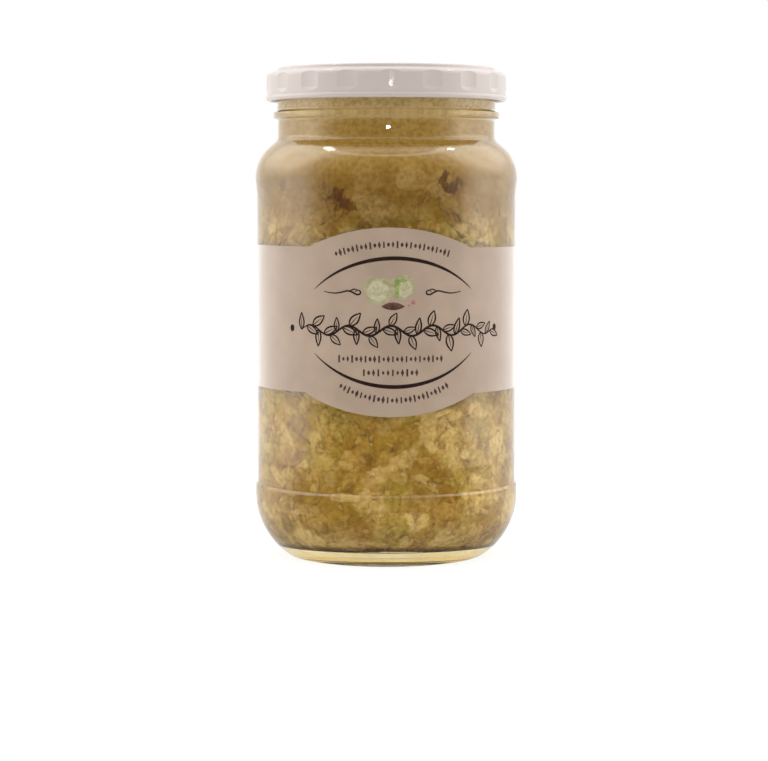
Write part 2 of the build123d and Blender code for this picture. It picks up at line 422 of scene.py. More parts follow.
def makeGlass():
    # soda-lime container glass, blow-moulded: clear and shiny with a faint ripple
    material, tree, surface = newMaterial("mouldedFlintGlass")
    place = addNode(tree, "ShaderNodeTexCoord").outputs["Object"]
    ripple = grained(tree, place, glass["rippleSize"], glass["rippleDepth"], glass["rippleStrength"], 1.0)
    body = addNode(tree, "ShaderNodeBsdfPrincipled", inputs={
        "Base Color": (1, 1, 1, 1), "Roughness": 0.0, "IOR": glass["ior"],
        "Transmission Weight": 1.0, "Normal": ripple})
    letThrough(tree, body, surface, glass["tint"])
    dress(frame["nodes"]["glass_jar"], material)


makeGlass()
print("glass ready")

brine = {"reach": 0.18, "ior": 1.34, "tint": "#fff1cf", "segments": 144}
kraut = {
    "lift": 1.6,              # clear brine under the pressed mass
    "coreDepth": 0.75, "coreGrain": 4.0, "coreRelief": 0.6,
    "coreSink": 0.6,          # the noise that leaves the core's surface in place; less dents it
    "coreSpacing": 1.0, "coreSegments": 230,
    "quickSpacing": 2.0, "quickSegments": 120, "quickShare": 0.35,
    "shellInset": 0.12, "shellSpacing": 3, "shellSegments": 96,   # the wall that the shreds lie along
    "layTilt": 0.1, "seed": 7, "firstSeed": 20,
    "press": 0.92,            # how far a shred that would reach through the wall is pressed back in
    "drift": 14.0,            # size of the drifts of colour through the mass
    "driftStops": [(0.32, "#856029"), (0.43, "#9c7c3a"), (0.5, "#a68c4c"), (0.56, "#978542"),
                   (0.68, "#b49e64")],
    "wander": 4.0,            # how far, and over what size, the edges of the lumps wander
    "lump": 9.0, "lumpShare": 0.72, "soft": 0.3,
    "lumpStops": [(0.0, "#6b4f1a"), (0.2, "#876c26"), (0.38, "#95803a"), (0.52, "#7f7a2f"),
                  (0.64, "#a3965f"), (0.74, "#c3b294"), (0.9, "#cfc1a6"), (1.0, "#dacfb8")],
    "crumb": 4.4, "crumbShare": 0.3,
    "crumbStops": [(0.0, "#7b5423"), (0.25, "#987939"), (0.5, "#a59049"), (0.75, "#b9a373"),
                   (1.0, "#c8bb94")],
    "ownShare": 0.34,         # how much of its own kind's colour a shred shows
    "shadow": 4.0, "shadowRange": (0.46, 0.33), "shadowColour": "#735621", "shadowShare": 0.6,
    "fine": 1.3, "fineShare": 0.7, "fineStops": [(0.3, "#d0be98"), (0.62, "#ffffff")],
    "murkFrom": 97, "murkTo": 108, "murkColour": "#6f5322", "murkShare": 0.72,
    # painted light: the kraut is paler from the shoulder up, where light from above falls on it
    "creamFrom": 114, "creamTo": 122, "creamColour": "#a38c58", "creamShare": 0.75,
    # painted reflection: the kraut turns pale and greyish under the neck, standing in for the glass's
    # reflections there
    "frothFrom": 131.5, "frothTo": 136, "frothColour": "#c6b7a6", "frothShare": 0.85,
    # turn from the front, height, size and strength of the dark brown spots
    "darkSpots": [(23.6, 115.2, 1.9, 0.75), (28.4, 113.4, 2.2, 0.85), (32.2, 114.8, 1.5, 0.7),
                (-25.5, 110.2, 2.4, 0.75), (-21.2, 108.2, 3.0, 0.9), (-17.6, 106.6, 2.2, 0.75),
                (-31.5, 113.2, 1.6, 0.5), (-56.7, 114.0, 2.2, 0.6)],
    "darkSpotColour": "#4a2a0b", "darkSpotRadius": 37, "darkSpotRagged": 8.0,
}
lees = {"clear": 0.15, "top": 5.6, "thick": 0.35, "grain": 6.0, "deep": "#efe6cf", "light": "#faf5e8",
        "segments": 96}


def makeBrine():
    # lactic brine, faintly yellow: it wets the glass, so it mirrors nothing
    material, tree, surface = newMaterial("cloudyBrine")
    body = addNode(tree, "ShaderNodeBsdfPrincipled", inputs={
        "Base Color": hexColour(brine["tint"]), "Roughness": 0.0, "IOR": brine["ior"],
        "Specular IOR Level": 0.0, "Transmission Weight": 1.0})
    letThrough(tree, body, surface, brine["tint"])
    return lathe("brine", cavityLine(-brine["reach"], cavity["level"]), brine["segments"], material)


def makeBaseSheet():
    # a nearly white layer on the glass floor, as thin as paint: painted light, standing in for light coming
    # up through the base
    material, tree, surface = newMaterial("paintedBaseLight")
    place = addNode(tree, "ShaderNodeTexCoord").outputs["Object"]
    colour = clouded(tree, place, lees["grain"], [(0.35, lees["deep"]), (0.65, lees["light"])], 3.0)
    body = addNode(tree, "ShaderNodeBsdfPrincipled", inputs={
        "Base Color": colour, "Roughness": 0.7, "IOR": 1.4, "Specular IOR Level": 0.0})
    tree.links.new(body.outputs[0], surface)
    floor = [(radius, height) for radius, height in evenLine(cavityLine(lees["clear"], cavity["level"]), 1.0)
             if height < lees["top"]]
    skin = [(radius, height + lees["thick"]) for radius, height in reversed(floor)]
    return lathe("lees", floor + skin, lees["segments"], material)


def krautColour(tree, place, own=None):
    # drifts of olive and gold, soft-edged lumps, painted shade in the hollows, murky with dark brown spots
    # towards the top, painted light on the shoulder and a painted reflection under the neck
    colour = clouded(tree, place, kraut["drift"], kraut["driftStops"], 3.0, 0.5)
    layers = []   # share and colour of all that is laid over the drifts, in order
    # each cell of the cut mass keeps its own colour and runs softly into the next
    wander = addNode(tree, "ShaderNodeTexNoise", inputs={
        "Vector": place, "Scale": 1000 / kraut["wander"], "Detail": 2.0})
    shift = addNode(tree, "ShaderNodeVectorMath", {"operation": "MULTIPLY_ADD"}, {
        0: wander.outputs["Color"], 1: (mm(kraut["wander"]),) * 3, 2: place})
    for name in ("lump", "crumb"):
        cells = addNode(tree, "ShaderNodeTexVoronoi", {"feature": "SMOOTH_F1"}, {
            "Vector": shift, "Scale": 1000 / kraut[name], "Smoothness": kraut["soft"], "Randomness": 1.0})
        pick = addNode(tree, "ShaderNodeSeparateColor", inputs={0: cells.outputs["Color"]})
        tone = addNode(tree, "ShaderNodeValToRGB", {"stops": kraut[name + "Stops"]}, {0: pick})
        layers.append((kraut[name + "Share"], tone))
    if own is not None:
        layers.append((kraut["ownShare"], own))
    hollow = addNode(tree, "ShaderNodeTexNoise", inputs={
        "Vector": place, "Scale": 1000 / kraut["shadow"], "Detail": 3.0, "Distortion": 0.8})
    high = addNode(tree, "ShaderNodeSeparateXYZ", inputs={0: place}).outputs["Z"]
    # value, where a layer starts and is full, its share and its colour
    ranges = [(hollow, *kraut["shadowRange"], kraut["shadowShare"], kraut["shadowColour"])]
    for name in ("murk", "cream", "froth"):
        ranges.append((high, mm(kraut[name + "From"]), mm(kraut[name + "To"]), kraut[name + "Share"],
                       kraut[name + "Colour"]))
    middleWay = mm(kraut["wander"] / 2)   # the wander moves all to one side by half its reach
    for turn, level, size, share in kraut["darkSpots"]:
        out, around = mm(kraut["darkSpotRadius"]), math.radians(turn)
        middle = (out * math.sin(around), -out * math.cos(around), mm(level))
        gap = addNode(tree, "ShaderNodeVectorMath", {"operation": "DISTANCE"}, {
            0: shift, 1: tuple(value + middleWay for value in middle)})
        ragged = addNode(tree, "ShaderNodeMath", {"operation": "MULTIPLY_ADD"}, {
            0: hollow, 1: mm(kraut["darkSpotRagged"]), 2: gap.outputs["Value"]})
        edge = size + kraut["darkSpotRagged"] / 2
        ranges.append((ragged, mm(edge), mm(edge - size / 2), share, kraut["darkSpotColour"]))
    for value, start, full, share, shade in ranges:
        shown = addNode(tree, "ShaderNodeMapRange", {"interpolation_type": "SMOOTHSTEP"}, {
            "Value": value, "From Min": start, "From Max": full, "To Min": 0.0, "To Max": share})
        layers.append((shown, hexColour(shade)))
    for share, over in layers:
        colour = addNode(tree, "ShaderNodeMix", {"data_type": "RGBA"}, {
            0: share, 6: colour, 7: over}).outputs[2]
    speck = clouded(tree, place, kraut["fine"], kraut["fineStops"])
    return addNode(tree, "ShaderNodeMix", {"data_type": "RGBA", "blend_type": "MULTIPLY"}, {
        0: kraut["fineShare"], 6: colour, 7: speck}).outputs[2]


def makeCore():
    # pressed mass of finely cut cabbage behind the loose shreds
    material, tree, surface = newMaterial("pressedCabbage")
    place = addNode(tree, "ShaderNodeTexCoord").outputs["Object"]
    body = addNode(tree, "ShaderNodeBsdfPrincipled", inputs={
        "Base Color": krautColour(tree, place), "Roughness": 0.6, "IOR": 1.4, "Specular IOR Level": 0.1})
    tree.links.new(body.outputs[0], surface)
    line = cavityLine(kraut["coreDepth"], cavity["level"] - 1, kraut["lift"])
    detail = "core"
    start = lathe("coreStart", evenLine(line, kraut[detail + "Spacing"]), kraut[detail + "Segments"])
    sizes = {"Grain": ("Float", mm(3.0)), "Relief": ("Float", mm(1.0)), "Sink": ("Float", 0.5),
             "Skin": ("Material", None)}
    tree, given, result = newGeometryTree("krautRelief", sizes)
    spot = addNode(tree, "GeometryNodeInputPosition")
    normal = addNode(tree, "GeometryNodeInputNormal")
    scale = addNode(tree, "ShaderNodeMath", {"operation": "DIVIDE"}, {0: 1.0, 1: given["Grain"]})
    lumps = addNode(tree, "ShaderNodeTexNoise", inputs={
        "Vector": spot, "Scale": scale, "Detail": 2.0, "Roughness": 0.6})
    centred = addNode(tree, "ShaderNodeMath", {"operation": "SUBTRACT"}, {0: lumps, 1: given["Sink"]})
    height = addNode(tree, "ShaderNodeMath", {"operation": "MULTIPLY"}, {0: centred, 1: given["Relief"]})
    push = addNode(tree, "ShaderNodeVectorMath", {"operation": "SCALE"}, {0: normal, "Scale": height})
    moved = addNode(tree, "GeometryNodeSetPosition", inputs={
        "Geometry": given["Geometry"], "Offset": push})
    endTree(tree, moved, given["Skin"], result)
    piece = plainMesh(start, tree, {
        "Grain": mm(kraut["coreGrain"]), "Relief": mm(kraut["coreRelief"]), "Sink": kraut["coreSink"],
        "Skin": material}, "krautCore")
    discard(start)
    return piece


def shredPatterns(kind, dice, count=8):
    # a few bent strips of cut leaf, each with an oval section of six corners
    pieces = bpy.data.collections.new(kind["name"] + "Patterns")
    bpy.context.scene.collection.children.link(pieces)
    for index in range(count):
        length = dice.uniform(*kind["length"])
        width = dice.uniform(*kind["width"])
        thick = dice.uniform(*kind["thick"])
        bend = dice.uniform(-1, 1) * kind["bend"]
        twist = dice.uniform(-1, 1) * kind["twist"]
        stations = around = 6
        points, faces = [], []
        for s in range(stations):
            t = s / (stations - 1)
            # thinner towards its ends, and never quite even
            taper = (0.45 + 0.55 * math.sin(math.pi * (0.12 + 0.76 * t))) * dice.uniform(0.85, 1.15)
            x = (t - 0.5) * length
            y = bend * length * (4 * (t - 0.5) ** 2 - 0.5)
            roll = twist * (t - 0.5)
            for a in range(around):
                angle = 2 * math.pi * a / around
                u, v = width / 2 * taper * math.cos(angle), thick / 2 * taper * math.sin(angle)
                points.append((mm(x), mm(y + u * math.cos(roll) - v * math.sin(roll)),
                               mm(u * math.sin(roll) + v * math.cos(roll))))
        for s in range(stations - 1):
            for a in range(around):
                b = (a + 1) % around
                low, high = s * around, (s + 1) * around
                faces.append((low + a, low + b, high + b, high + a))
        faces.append(tuple(reversed(range(around))))
        faces.append(tuple((stations - 1) * around + a for a in range(around)))
        pattern = addMesh(f"{kind['name']}{index}", points, faces)
        lean = dice.uniform(-1, 1) * kind["tilt"]
        rise = pattern.data.attributes.new("rise", "FLOAT", "POINT")
        rise.data.foreach_set("value", [z + lean * x for x, y, z in points])
        bpy.context.scene.collection.objects.unlink(pattern)
        pieces.objects.link(pattern)
    return pieces


def makeScatterTree():
    # throws pieces on a surface, lays them along it and presses them in behind it
    sizes = {"Patterns": ("Collection", None), "Density": ("Float", 1000.0), "Seed": ("Int", 1),
             "Shallow": ("Float", mm(0.4)), "Deep": ("Float", mm(2.0)), "Smallest": ("Float", 0.7),
             "Largest": ("Float", 1.2), "Tilt": ("Float", 0.3), "Margin": ("Float", mm(0.25)),
             "Lowest": ("Float", 0.0), "Highest": ("Float", 1.0), "Skin": ("Material", None)}
    tree, given, result = newGeometryTree("pressedScatter", sizes)
    thrown = addNode(tree, "GeometryNodeDistributePointsOnFaces", {"distribute_method": "RANDOM"}, {
        "Mesh": given["Geometry"], "Density": given["Density"], "Seed": given["Seed"]})
    spot = addNode(tree, "GeometryNodeInputPosition")
    axes = addNode(tree, "ShaderNodeSeparateXYZ", inputs={0: spot})
    beyond = [addNode(tree, "FunctionNodeCompare", {"operation": operation}, {
        0: axes.outputs[2], 1: given[limit]})
        for operation, limit in (("LESS_THAN", "Lowest"), ("GREATER_THAN", "Highest"))]
    outside = addNode(tree, "FunctionNodeBooleanMath", {"operation": "OR"}, {0: beyond[0], 1: beyond[1]})
    kept = addNode(tree, "GeometryNodeDeleteGeometry", {"domain": "POINT"}, {
        "Geometry": thrown.outputs["Points"], "Selection": outside})
    tiltLow = addNode(tree, "ShaderNodeMath", {"operation": "MULTIPLY"}, {0: given["Tilt"], 1: -1.0})
    low = addNode(tree, "ShaderNodeCombineXYZ", inputs={0: tiltLow, 1: tiltLow, 2: 0.0})
    high = addNode(tree, "ShaderNodeCombineXYZ", inputs={
        0: given["Tilt"], 1: given["Tilt"], 2: 2 * math.pi})
    turn = addNode(tree, "FunctionNodeRandomValue", {"data_type": "FLOAT_VECTOR"}, {
        0: low, 1: high, "Seed": 12})
    spin = addNode(tree, "FunctionNodeEulerToRotation", inputs={0: turn})
    laid = addNode(tree, "FunctionNodeRotateRotation", {"rotation_space": "LOCAL"}, {
        0: thrown.outputs["Rotation"], 1: spin})
    size = addNode(tree, "FunctionNodeRandomValue", {"data_type": "FLOAT"}, {
        2: given["Smallest"], 3: given["Largest"], "Seed": 13})
    patterns = addNode(tree, "GeometryNodeCollectionInfo", inputs={
        "Collection": given["Patterns"], "Separate Children": True, "Reset Children": True})
    placed = addNode(tree, "GeometryNodeInstanceOnPoints", inputs={
        "Points": kept, "Instance": patterns, "Pick Instance": True,
        "Rotation": laid, "Scale": size.outputs[1]})
    for name, low, high, seed in (("deep", given["Shallow"], given["Deep"], 11), ("shade", 0.0, 1.0, 14)):
        value = addNode(tree, "FunctionNodeRandomValue", {"data_type": "FLOAT"}, {
            2: low, 3: high, "Seed": seed})
        placed = addNode(tree, "GeometryNodeStoreNamedAttribute", {
            "data_type": "FLOAT", "domain": "INSTANCE"}, {
            "Geometry": placed, "Name": name, "Value": value.outputs[1]})
    real = addNode(tree, "GeometryNodeRealizeInstances", inputs={"Geometry": placed})
    # each piece follows the wall: its own thickness stands on a depth below the surface
    nearest = addNode(tree, "GeometryNodeProximity", {"target_element": "FACES"}, {0: given["Geometry"]})
    facing = addNode(tree, "GeometryNodeSampleNearestSurface", {"data_type": "FLOAT_VECTOR"}, {
        "Mesh": given["Geometry"], "Value": addNode(tree, "GeometryNodeInputNormal")})
    rise = addNode(tree, "GeometryNodeInputNamedAttribute", {"data_type": "FLOAT"}, {"Name": "rise"})
    deep = addNode(tree, "GeometryNodeInputNamedAttribute", {"data_type": "FLOAT"}, {"Name": "deep"})
    wanted = addNode(tree, "ShaderNodeMath", {"operation": "SUBTRACT"}, {0: deep, 1: rise})
    missing = addNode(tree, "ShaderNodeMath", {"operation": "SUBTRACT"}, {0: given["Margin"], 1: wanted})
    missing = addNode(tree, "ShaderNodeMath", {"operation": "MAXIMUM"}, {0: missing, 1: 0.0})
    settled = addNode(tree, "ShaderNodeMath", {"operation": "MULTIPLY_ADD"}, {
        0: missing, 1: kraut["press"], 2: wanted})
    inward = addNode(tree, "ShaderNodeMath", {"operation": "MULTIPLY"}, {0: settled, 1: -1.0})
    sink = addNode(tree, "ShaderNodeVectorMath", {"operation": "SCALE"}, {0: facing, "Scale": inward})
    wall = addNode(tree, "ShaderNodeVectorMath", {"operation": "ADD"}, {
        0: nearest.outputs["Position"], 1: sink})
    pressed = addNode(tree, "GeometryNodeSetPosition", inputs={"Geometry": real, "Position": wall})
    endTree(tree, pressed, given["Skin"], result)
    return tree


shredKinds = [
    {"name": "leafChunks", "length": (6, 12), "width": (4.4, 7.5), "thick": (0.9, 1.6), "bend": 0.10,
     "twist": 0.2, "tilt": 0.06, "top": 112, "count": 800, "depth": (0.85, 1.25),
     "stops": [(0.0, "#947538"), (0.5, "#ac9057"), (1.0, "#c3ad7d")]},
    {"name": "paleShreds", "length": (4, 11), "width": (1.6, 3.0), "thick": (0.6, 1.1), "bend": 0.16,
     "twist": 0.5, "tilt": 0.08, "top": 111, "count": 500, "depth": (0.7, 1.0),
     "stops": [(0.0, "#9e8049"), (0.6, "#b49d68"), (1.0, "#c7b78f")]},
    {"name": "oliveShreds", "length": (4, 9), "width": (1.5, 2.8), "thick": (0.5, 1.0), "bend": 0.2,
     "twist": 0.6, "tilt": 0.08, "top": 113, "count": 500, "depth": (0.7, 1.0),
     "stops": [(0.0, "#7d6d2b"), (0.6, "#978542"), (1.0, "#ac9b5b")]},
    {"name": "goldenShreds", "length": (3, 8), "width": (1.4, 2.6), "thick": (0.5, 1.0), "bend": 0.18,
     "twist": 0.6, "tilt": 0.08, "top": 112, "count": 260, "depth": (0.7, 1.0),
     "stops": [(0.0, "#825927"), (0.6, "#9e7637"), (1.0, "#b59052")]},
    {"name": "ribPieces", "length": (5, 10), "width": (3.4, 6.0), "thick": (1.2, 2.2), "bend": 0.08,
     "twist": 0.2, "tilt": 0.05, "top": 109, "count": 420, "depth": (1.0, 1.4),
     "stops": [(0.0, "#b09b68"), (0.6, "#c3b187"), (1.0, "#d2c6a7")]},
    {"name": "garlicBits", "length": (2.2, 4.2), "width": (1.8, 3.0), "thick": (1.2, 2.0), "bend": 0.02,
     "twist": 0.1, "tilt": 0.08, "top": 110, "count": 160, "depth": (0.85, 1.2),
     "stops": [(0.0, "#b5a06d"), (0.6, "#c6b78c"), (1.0, "#d3c8ac")]},
    {"name": "fineCrumbs", "length": (1.0, 1.9), "width": (0.8, 1.3), "thick": (0.6, 1.0), "bend": 0.1,
     "twist": 0.2, "tilt": 0.0, "top": 113, "count": 900, "depth": (0.6, 0.85),
     "stops": [(0.0, "#a58a4e"), (0.5, "#c4ac76"), (1.0, "#dccda6")]},
    {"name": "mustardSeeds", "length": (1.7, 2.1), "width": (1.5, 1.8), "thick": (1.5, 1.8), "bend": 0.0,
     "twist": 0.0, "tilt": 0.0, "top": 115, "count": 190, "depth": (0.95, 1.2),
     "stops": [(0.0, "#875b25"), (0.5, "#a68040"), (1.0, "#c4aa73")]},
]


def leafMaterial(kind, name):
    # salted cabbage leaf, limp and wet: soft, low gloss under brine
    material, tree, surface = newMaterial(name)
    shade = addNode(tree, "ShaderNodeAttribute", {"attribute_name": "shade"})
    place = addNode(tree, "ShaderNodeTexCoord").outputs["Object"]
    vein = addNode(tree, "ShaderNodeTexNoise", inputs={
        "Vector": place, "Scale": 1000 / kraut["fine"], "Detail": 3.0})
    spread = addNode(tree, "ShaderNodeMath", {"operation": "MULTIPLY_ADD"}, {0: vein, 1: 0.9, 2: -0.45})
    total = addNode(tree, "ShaderNodeMath", {"operation": "ADD"}, {0: shade.outputs["Fac"], 1: spread})
    own = addNode(tree, "ShaderNodeValToRGB", {"stops": kind["stops"]}, {0: total})
    body = addNode(tree, "ShaderNodeBsdfPrincipled", inputs={
        "Base Color": krautColour(tree, place, own), "Roughness": 0.45, "IOR": 1.38,
        "Specular IOR Level": 0.2})
    tree.links.new(body.outputs[0], surface)
    return material


def makeKraut():
    pieces = [makeBrine(), makeBaseSheet(), makeCore()]
    print("brine and core ready")
    line = cavityLine(kraut["shellInset"], cavity["level"] - 0.6, kraut["lift"])
    shell = lathe("shell", evenLine(line, kraut["shellSpacing"]), kraut["shellSegments"])
    area = sum(face.area for face in shell.data.polygons)
    tree = makeScatterTree()
    dice = random.Random(kraut["seed"])
    for index, kind in enumerate(shredKinds):
        patterns = shredPatterns(kind, dice)
        count = kind["count"] * 1
        piece = plainMesh(shell, tree, {
            "Patterns": patterns, "Density": count / area, "Seed": kraut["firstSeed"] + index,
            "Shallow": mm(kind["depth"][0]), "Deep": mm(kind["depth"][1]), "Tilt": kraut["layTilt"],
            "Lowest": -1.0, "Highest": mm(kind["top"]),
            "Skin": leafMaterial(kind, kind["name"] + "Leaf")}, kind["name"])
        piece.data.polygons.foreach_set("use_smooth", [True] * len(piece.data.polygons))
        discard(*patterns.objects)
        bpy.data.collections.remove(patterns)
        pieces.append(piece)
        print(kind["name"], len(piece.data.polygons), "faces")
    discard(shell)
    for piece in pieces:
        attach(piece, "root")
        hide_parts("sauerkraut")


makeKraut()
print("sauerkraut ready")

lid = {"lacquer": "#aea39d", "peel": 1.1, "peelStrength": 0.6, "peelDepth": 0.014}


def makeLid():
    # tinplate with a white stoved lacquer: smooth, glossy, slightly warm
    material, tree, surface = newMaterial("lacqueredTinplate")
    place = addNode(tree, "ShaderNodeTexCoord").outputs["Object"]
    peel = grained(tree, place, lid["peel"], lid["peelDepth"], lid["peelStrength"])
    body = addNode(tree, "ShaderNodeBsdfPrincipled", inputs={
        "Base Color": hexColour(lid["lacquer"]), "Roughness": 0.4, "IOR": 1.5, "Coat Weight": 0.5,
        "Coat Roughness": 0.04, "Normal": peel})
    tree.links.new(body.outputs[0], surface)
    dress(frame["nodes"]["lid"], material)


makeLid()


label = {
    "paper": [(0.3, "#8d7967"), (0.7, "#978270")], "mottle": 9.0,
    "fibre": 0.5, "fibreStrength": 0.3, "fibreDepth": 0.03,
    "radius": 39.785, "middle": 73.4, "layer": 0.006,   # print just clear of the paper
    "ink": "#1d110d", "softInk": "#3a2a24",
}
# print in mm, across and up from the middle of the label
arcs = [
    {"centre": 1.2, "edge": 19.0, "halfChord": 24.8, "sagitta": 9.3, "width": 1.15},
    {"centre": 1.2, "edge": -18.65, "halfChord": 24.8, "sagitta": -9.6, "width": 1.15},
]
scroll = [(-11.3, 0.25), (-9.6, -0.1), (-7.6, -0.25), (-5.4, 0.1), (-3.8, 0.45), (-2.4, 0.1), (-1.2, -0.55),
          (-0.2, -0.5), (0.1, 0.1), (-0.35, 0.6), (-1.1, 0.55), (-1.5, 0.1)]
sprig = [(-3.4, 0.35), (-2.5, 0.75), (-1.6, 0.95), (-0.9, 0.85)]
scrollPlaces = [(1, (-8.9, 9.0)), (-1, (10.8, 8.95))]   # which way round, and where
strokes = [(scroll, 0.5), (sprig, 0.38)]                # line and width
garland = {"from": -28.2, "to": 34.0, "height": -2.2, "wave": 1.5, "length": 12.6, "steps": 150,
           "stroke": 0.5, "leafLong": 4.7, "leafWide": 1.9, "leafSwell": (0.85, 1.0, 1.12),
           "spacing": 2.2, "lean": 0.95, "seed": 3}
rows = [
    {"centre": 0.75, "edge": 23.0, "halfChord": 17.0, "sagitta": 2.7},
    {"centre": 1.2, "edge": -22.6, "halfChord": 16.0, "sagitta": -4.1},
    {"centre": 0.05, "edge": -10.5, "halfChord": 15.4, "sagitta": 0.0},
    {"centre": 0.0, "edge": -14.5, "halfChord": 7.8, "sagitta": 0.0},
]
rowMarks = {"oval": (0.42, 0.62), "lozenge": (0.48, 1.15), "bar": (0.26, 1.0), "spacing": 1.3, "seed": 5}
dots, dotSize = [(-32.1, -1.9), (36.4, -1.9)], (0.85, 1.05)
veins = {"from": [((-3.6, 8.0), 3.2), ((3.9, 9.4), 2.4)], "turns": (30, 62, 90, 118, 150), "width": 0.3}


def bow(shape, steps):
    # points of a shallow arc from its chord and sagitta
    half, rise = shape["halfChord"], shape["sagitta"]
    result = []
    for step in range(steps + 1):
        u = half * (2 * step / steps - 1)
        if rise:
            bend = (half ** 2 + rise ** 2) / (2 * abs(rise))
            drop = math.copysign(bend - math.sqrt(bend ** 2 - u ** 2), rise)
        else:
            drop = 0.0
        result.append((shape["centre"] + u, shape["edge"] - drop))
    return result


def smoothLine(points, steps=6):
    # a curve through the points
    result = []
    padded = [points[0]] + points + [points[-1]]
    for a, b, c, d in zip(padded, padded[1:], padded[2:], padded[3:]):
        for step in range(steps):
            t = step / steps
            result.append(tuple(
                0.5 * (2 * b[k] + (c[k] - a[k]) * t + (2 * a[k] - 5 * b[k] + 4 * c[k] - d[k]) * t ** 2
                       + (3 * b[k] - a[k] - 3 * c[k] + d[k]) * t ** 3) for k in (0, 1)))
    return result + [points[-1]]


def addRibbon(drawing, line, widths):
    # a flat stroke along a line, with a width at each point
    points, faces = drawing
    first = len(points)
    for index, (u, v) in enumerate(line):
        before, after = line[max(index - 1, 0)], line[min(index + 1, len(line) - 1)]
        du, dv = after[0] - before[0], after[1] - before[1]
        reach = math.hypot(du, dv) or 1
        half = widths[index] / 2
        points.append((mm(u - dv / reach * half), mm(v + du / reach * half), 0))
        points.append((mm(u + dv / reach * half), mm(v - du / reach * half), 0))
    for index in range(len(line) - 1):
        a = first + 2 * index
        faces.append((a, a + 1, a + 3, a + 2))


def addField(drawing, centre, outline, rings=4):
    # a filled shape in rings from its middle to its outline
    points, faces = drawing
    first, count = len(points), len(outline)
    points.append((mm(centre[0]), mm(centre[1]), 0))
    for ring in range(1, rings + 1):
        share = ring / rings
        points += [(mm(centre[0] + (u - centre[0]) * share), mm(centre[1] + (v - centre[1]) * share), 0)
                   for u, v in outline]
    for i in range(count):
        j = (i + 1) % count
        faces.append((first, first + 1 + i, first + 1 + j))
        for ring in range(rings - 1):
            low, high = first + 1 + ring * count, first + 1 + (ring + 1) * count
            faces.append((low + i, high + i, high + j, low + j))


def ellipse(centre, wide, high, count=32, wobble=0.0, lobes=5, turn=0.0):
    result = []
    for i in range(count):
        angle = 2 * math.pi * i / count
        swell = 1 + wobble * math.sin(lobes * angle + turn)
        result.append((centre[0] + wide * swell * math.cos(angle),
                       centre[1] + high * swell * math.sin(angle)))
    return result


def tapered(count, width, point=0.15):
    # stroke widths from a thin end through a full middle to a thin end
    return [width * (point + (1 - point) * math.sin(math.pi * i / (count - 1)) ** 0.7) for i in range(count)]


def makeWrapTree():
    # rolls a flat drawing round the jar: across becomes turn, up stays up
    sizes = {"Radius": ("Float", mm(40)), "Middle": ("Float", mm(70)), "Skin": ("Material", None)}
    tree, given, result = newGeometryTree("rollRoundJar", sizes)
    axes = addNode(tree, "ShaderNodeSeparateXYZ", inputs={0: addNode(tree, "GeometryNodeInputPosition")})
    turn = addNode(tree, "ShaderNodeMath", {"operation": "DIVIDE"}, {0: axes, 1: given["Radius"]})
    across = addNode(tree, "ShaderNodeMath", {"operation": "SINE"}, {0: turn})
    ahead = addNode(tree, "ShaderNodeMath", {"operation": "COSINE"}, {0: turn})
    behind = addNode(tree, "ShaderNodeMath", {"operation": "MULTIPLY"}, {0: given["Radius"], 1: -1.0})
    x = addNode(tree, "ShaderNodeMath", {"operation": "MULTIPLY"}, {0: across, 1: given["Radius"]})
    y = addNode(tree, "ShaderNodeMath", {"operation": "MULTIPLY"}, {0: ahead, 1: behind})
    z = addNode(tree, "ShaderNodeMath", {"operation": "ADD"}, {0: axes.outputs[1], 1: given["Middle"]})
    spot = addNode(tree, "ShaderNodeCombineXYZ", inputs={0: x, 1: y, 2: z})
    rolled = addNode(tree, "GeometryNodeSetPosition", inputs={
        "Geometry": given["Geometry"], "Position": spot})
    endTree(tree, rolled, given["Skin"], result)
    return tree


def makeMarksTree():
    # sets marks along a line at an even spacing, leaning by turns to one side and the other
    sizes = {"Patterns": ("Collection", None), "Spacing": ("Float", mm(2)), "Lean": ("Float", 0.0),
             "Smallest": ("Float", 0.85), "Largest": ("Float", 1.1), "Seed": ("Int", 1),
             "Skin": ("Material", None)}
    tree, given, result = newGeometryTree("marksAlongLine", sizes)
    curve = addNode(tree, "GeometryNodeMeshToCurve", inputs={0: given["Geometry"]})
    spots = addNode(tree, "GeometryNodeCurveToPoints", {"mode": "LENGTH"}, {
        "Curve": curve, "Length": given["Spacing"]})
    axes = addNode(tree, "ShaderNodeSeparateXYZ", inputs={0: spots.outputs["Tangent"]})
    along = addNode(tree, "ShaderNodeMath", {"operation": "ARCTAN2"}, {0: axes.outputs[1], 1: axes})
    odd = addNode(tree, "ShaderNodeMath", {"operation": "MODULO"}, {
        0: addNode(tree, "GeometryNodeInputIndex"), 1: 2.0})
    side = addNode(tree, "ShaderNodeMath", {"operation": "MULTIPLY_ADD"}, {0: odd, 1: -2.0, 2: 1.0})
    lean = addNode(tree, "ShaderNodeMath", {"operation": "MULTIPLY_ADD"}, {
        0: side, 1: given["Lean"], 2: along})
    turn = addNode(tree, "ShaderNodeCombineXYZ", inputs={2: lean})
    spin = addNode(tree, "FunctionNodeEulerToRotation", inputs={0: turn})
    size = addNode(tree, "FunctionNodeRandomValue", {"data_type": "FLOAT"}, {
        2: given["Smallest"], 3: given["Largest"], "Seed": given["Seed"]})
    patterns = addNode(tree, "GeometryNodeCollectionInfo", inputs={
        "Collection": given["Patterns"], "Separate Children": True, "Reset Children": True})
    placed = addNode(tree, "GeometryNodeInstanceOnPoints", inputs={
        "Points": spots.outputs["Points"], "Instance": patterns, "Pick Instance": True,
        "Rotation": spin, "Scale": size.outputs[1]})
    endTree(tree, placed, given["Skin"], result)
    return tree


def patternSet(name, drawings):
    pieces = bpy.data.collections.new(name)
    bpy.context.scene.collection.children.link(pieces)
    for index, (points, faces) in enumerate(drawings):
        pattern = addMesh(f"{name}{index}", points, faces)
        bpy.context.scene.collection.objects.unlink(pattern)
        pieces.objects.link(pattern)
    return pieces


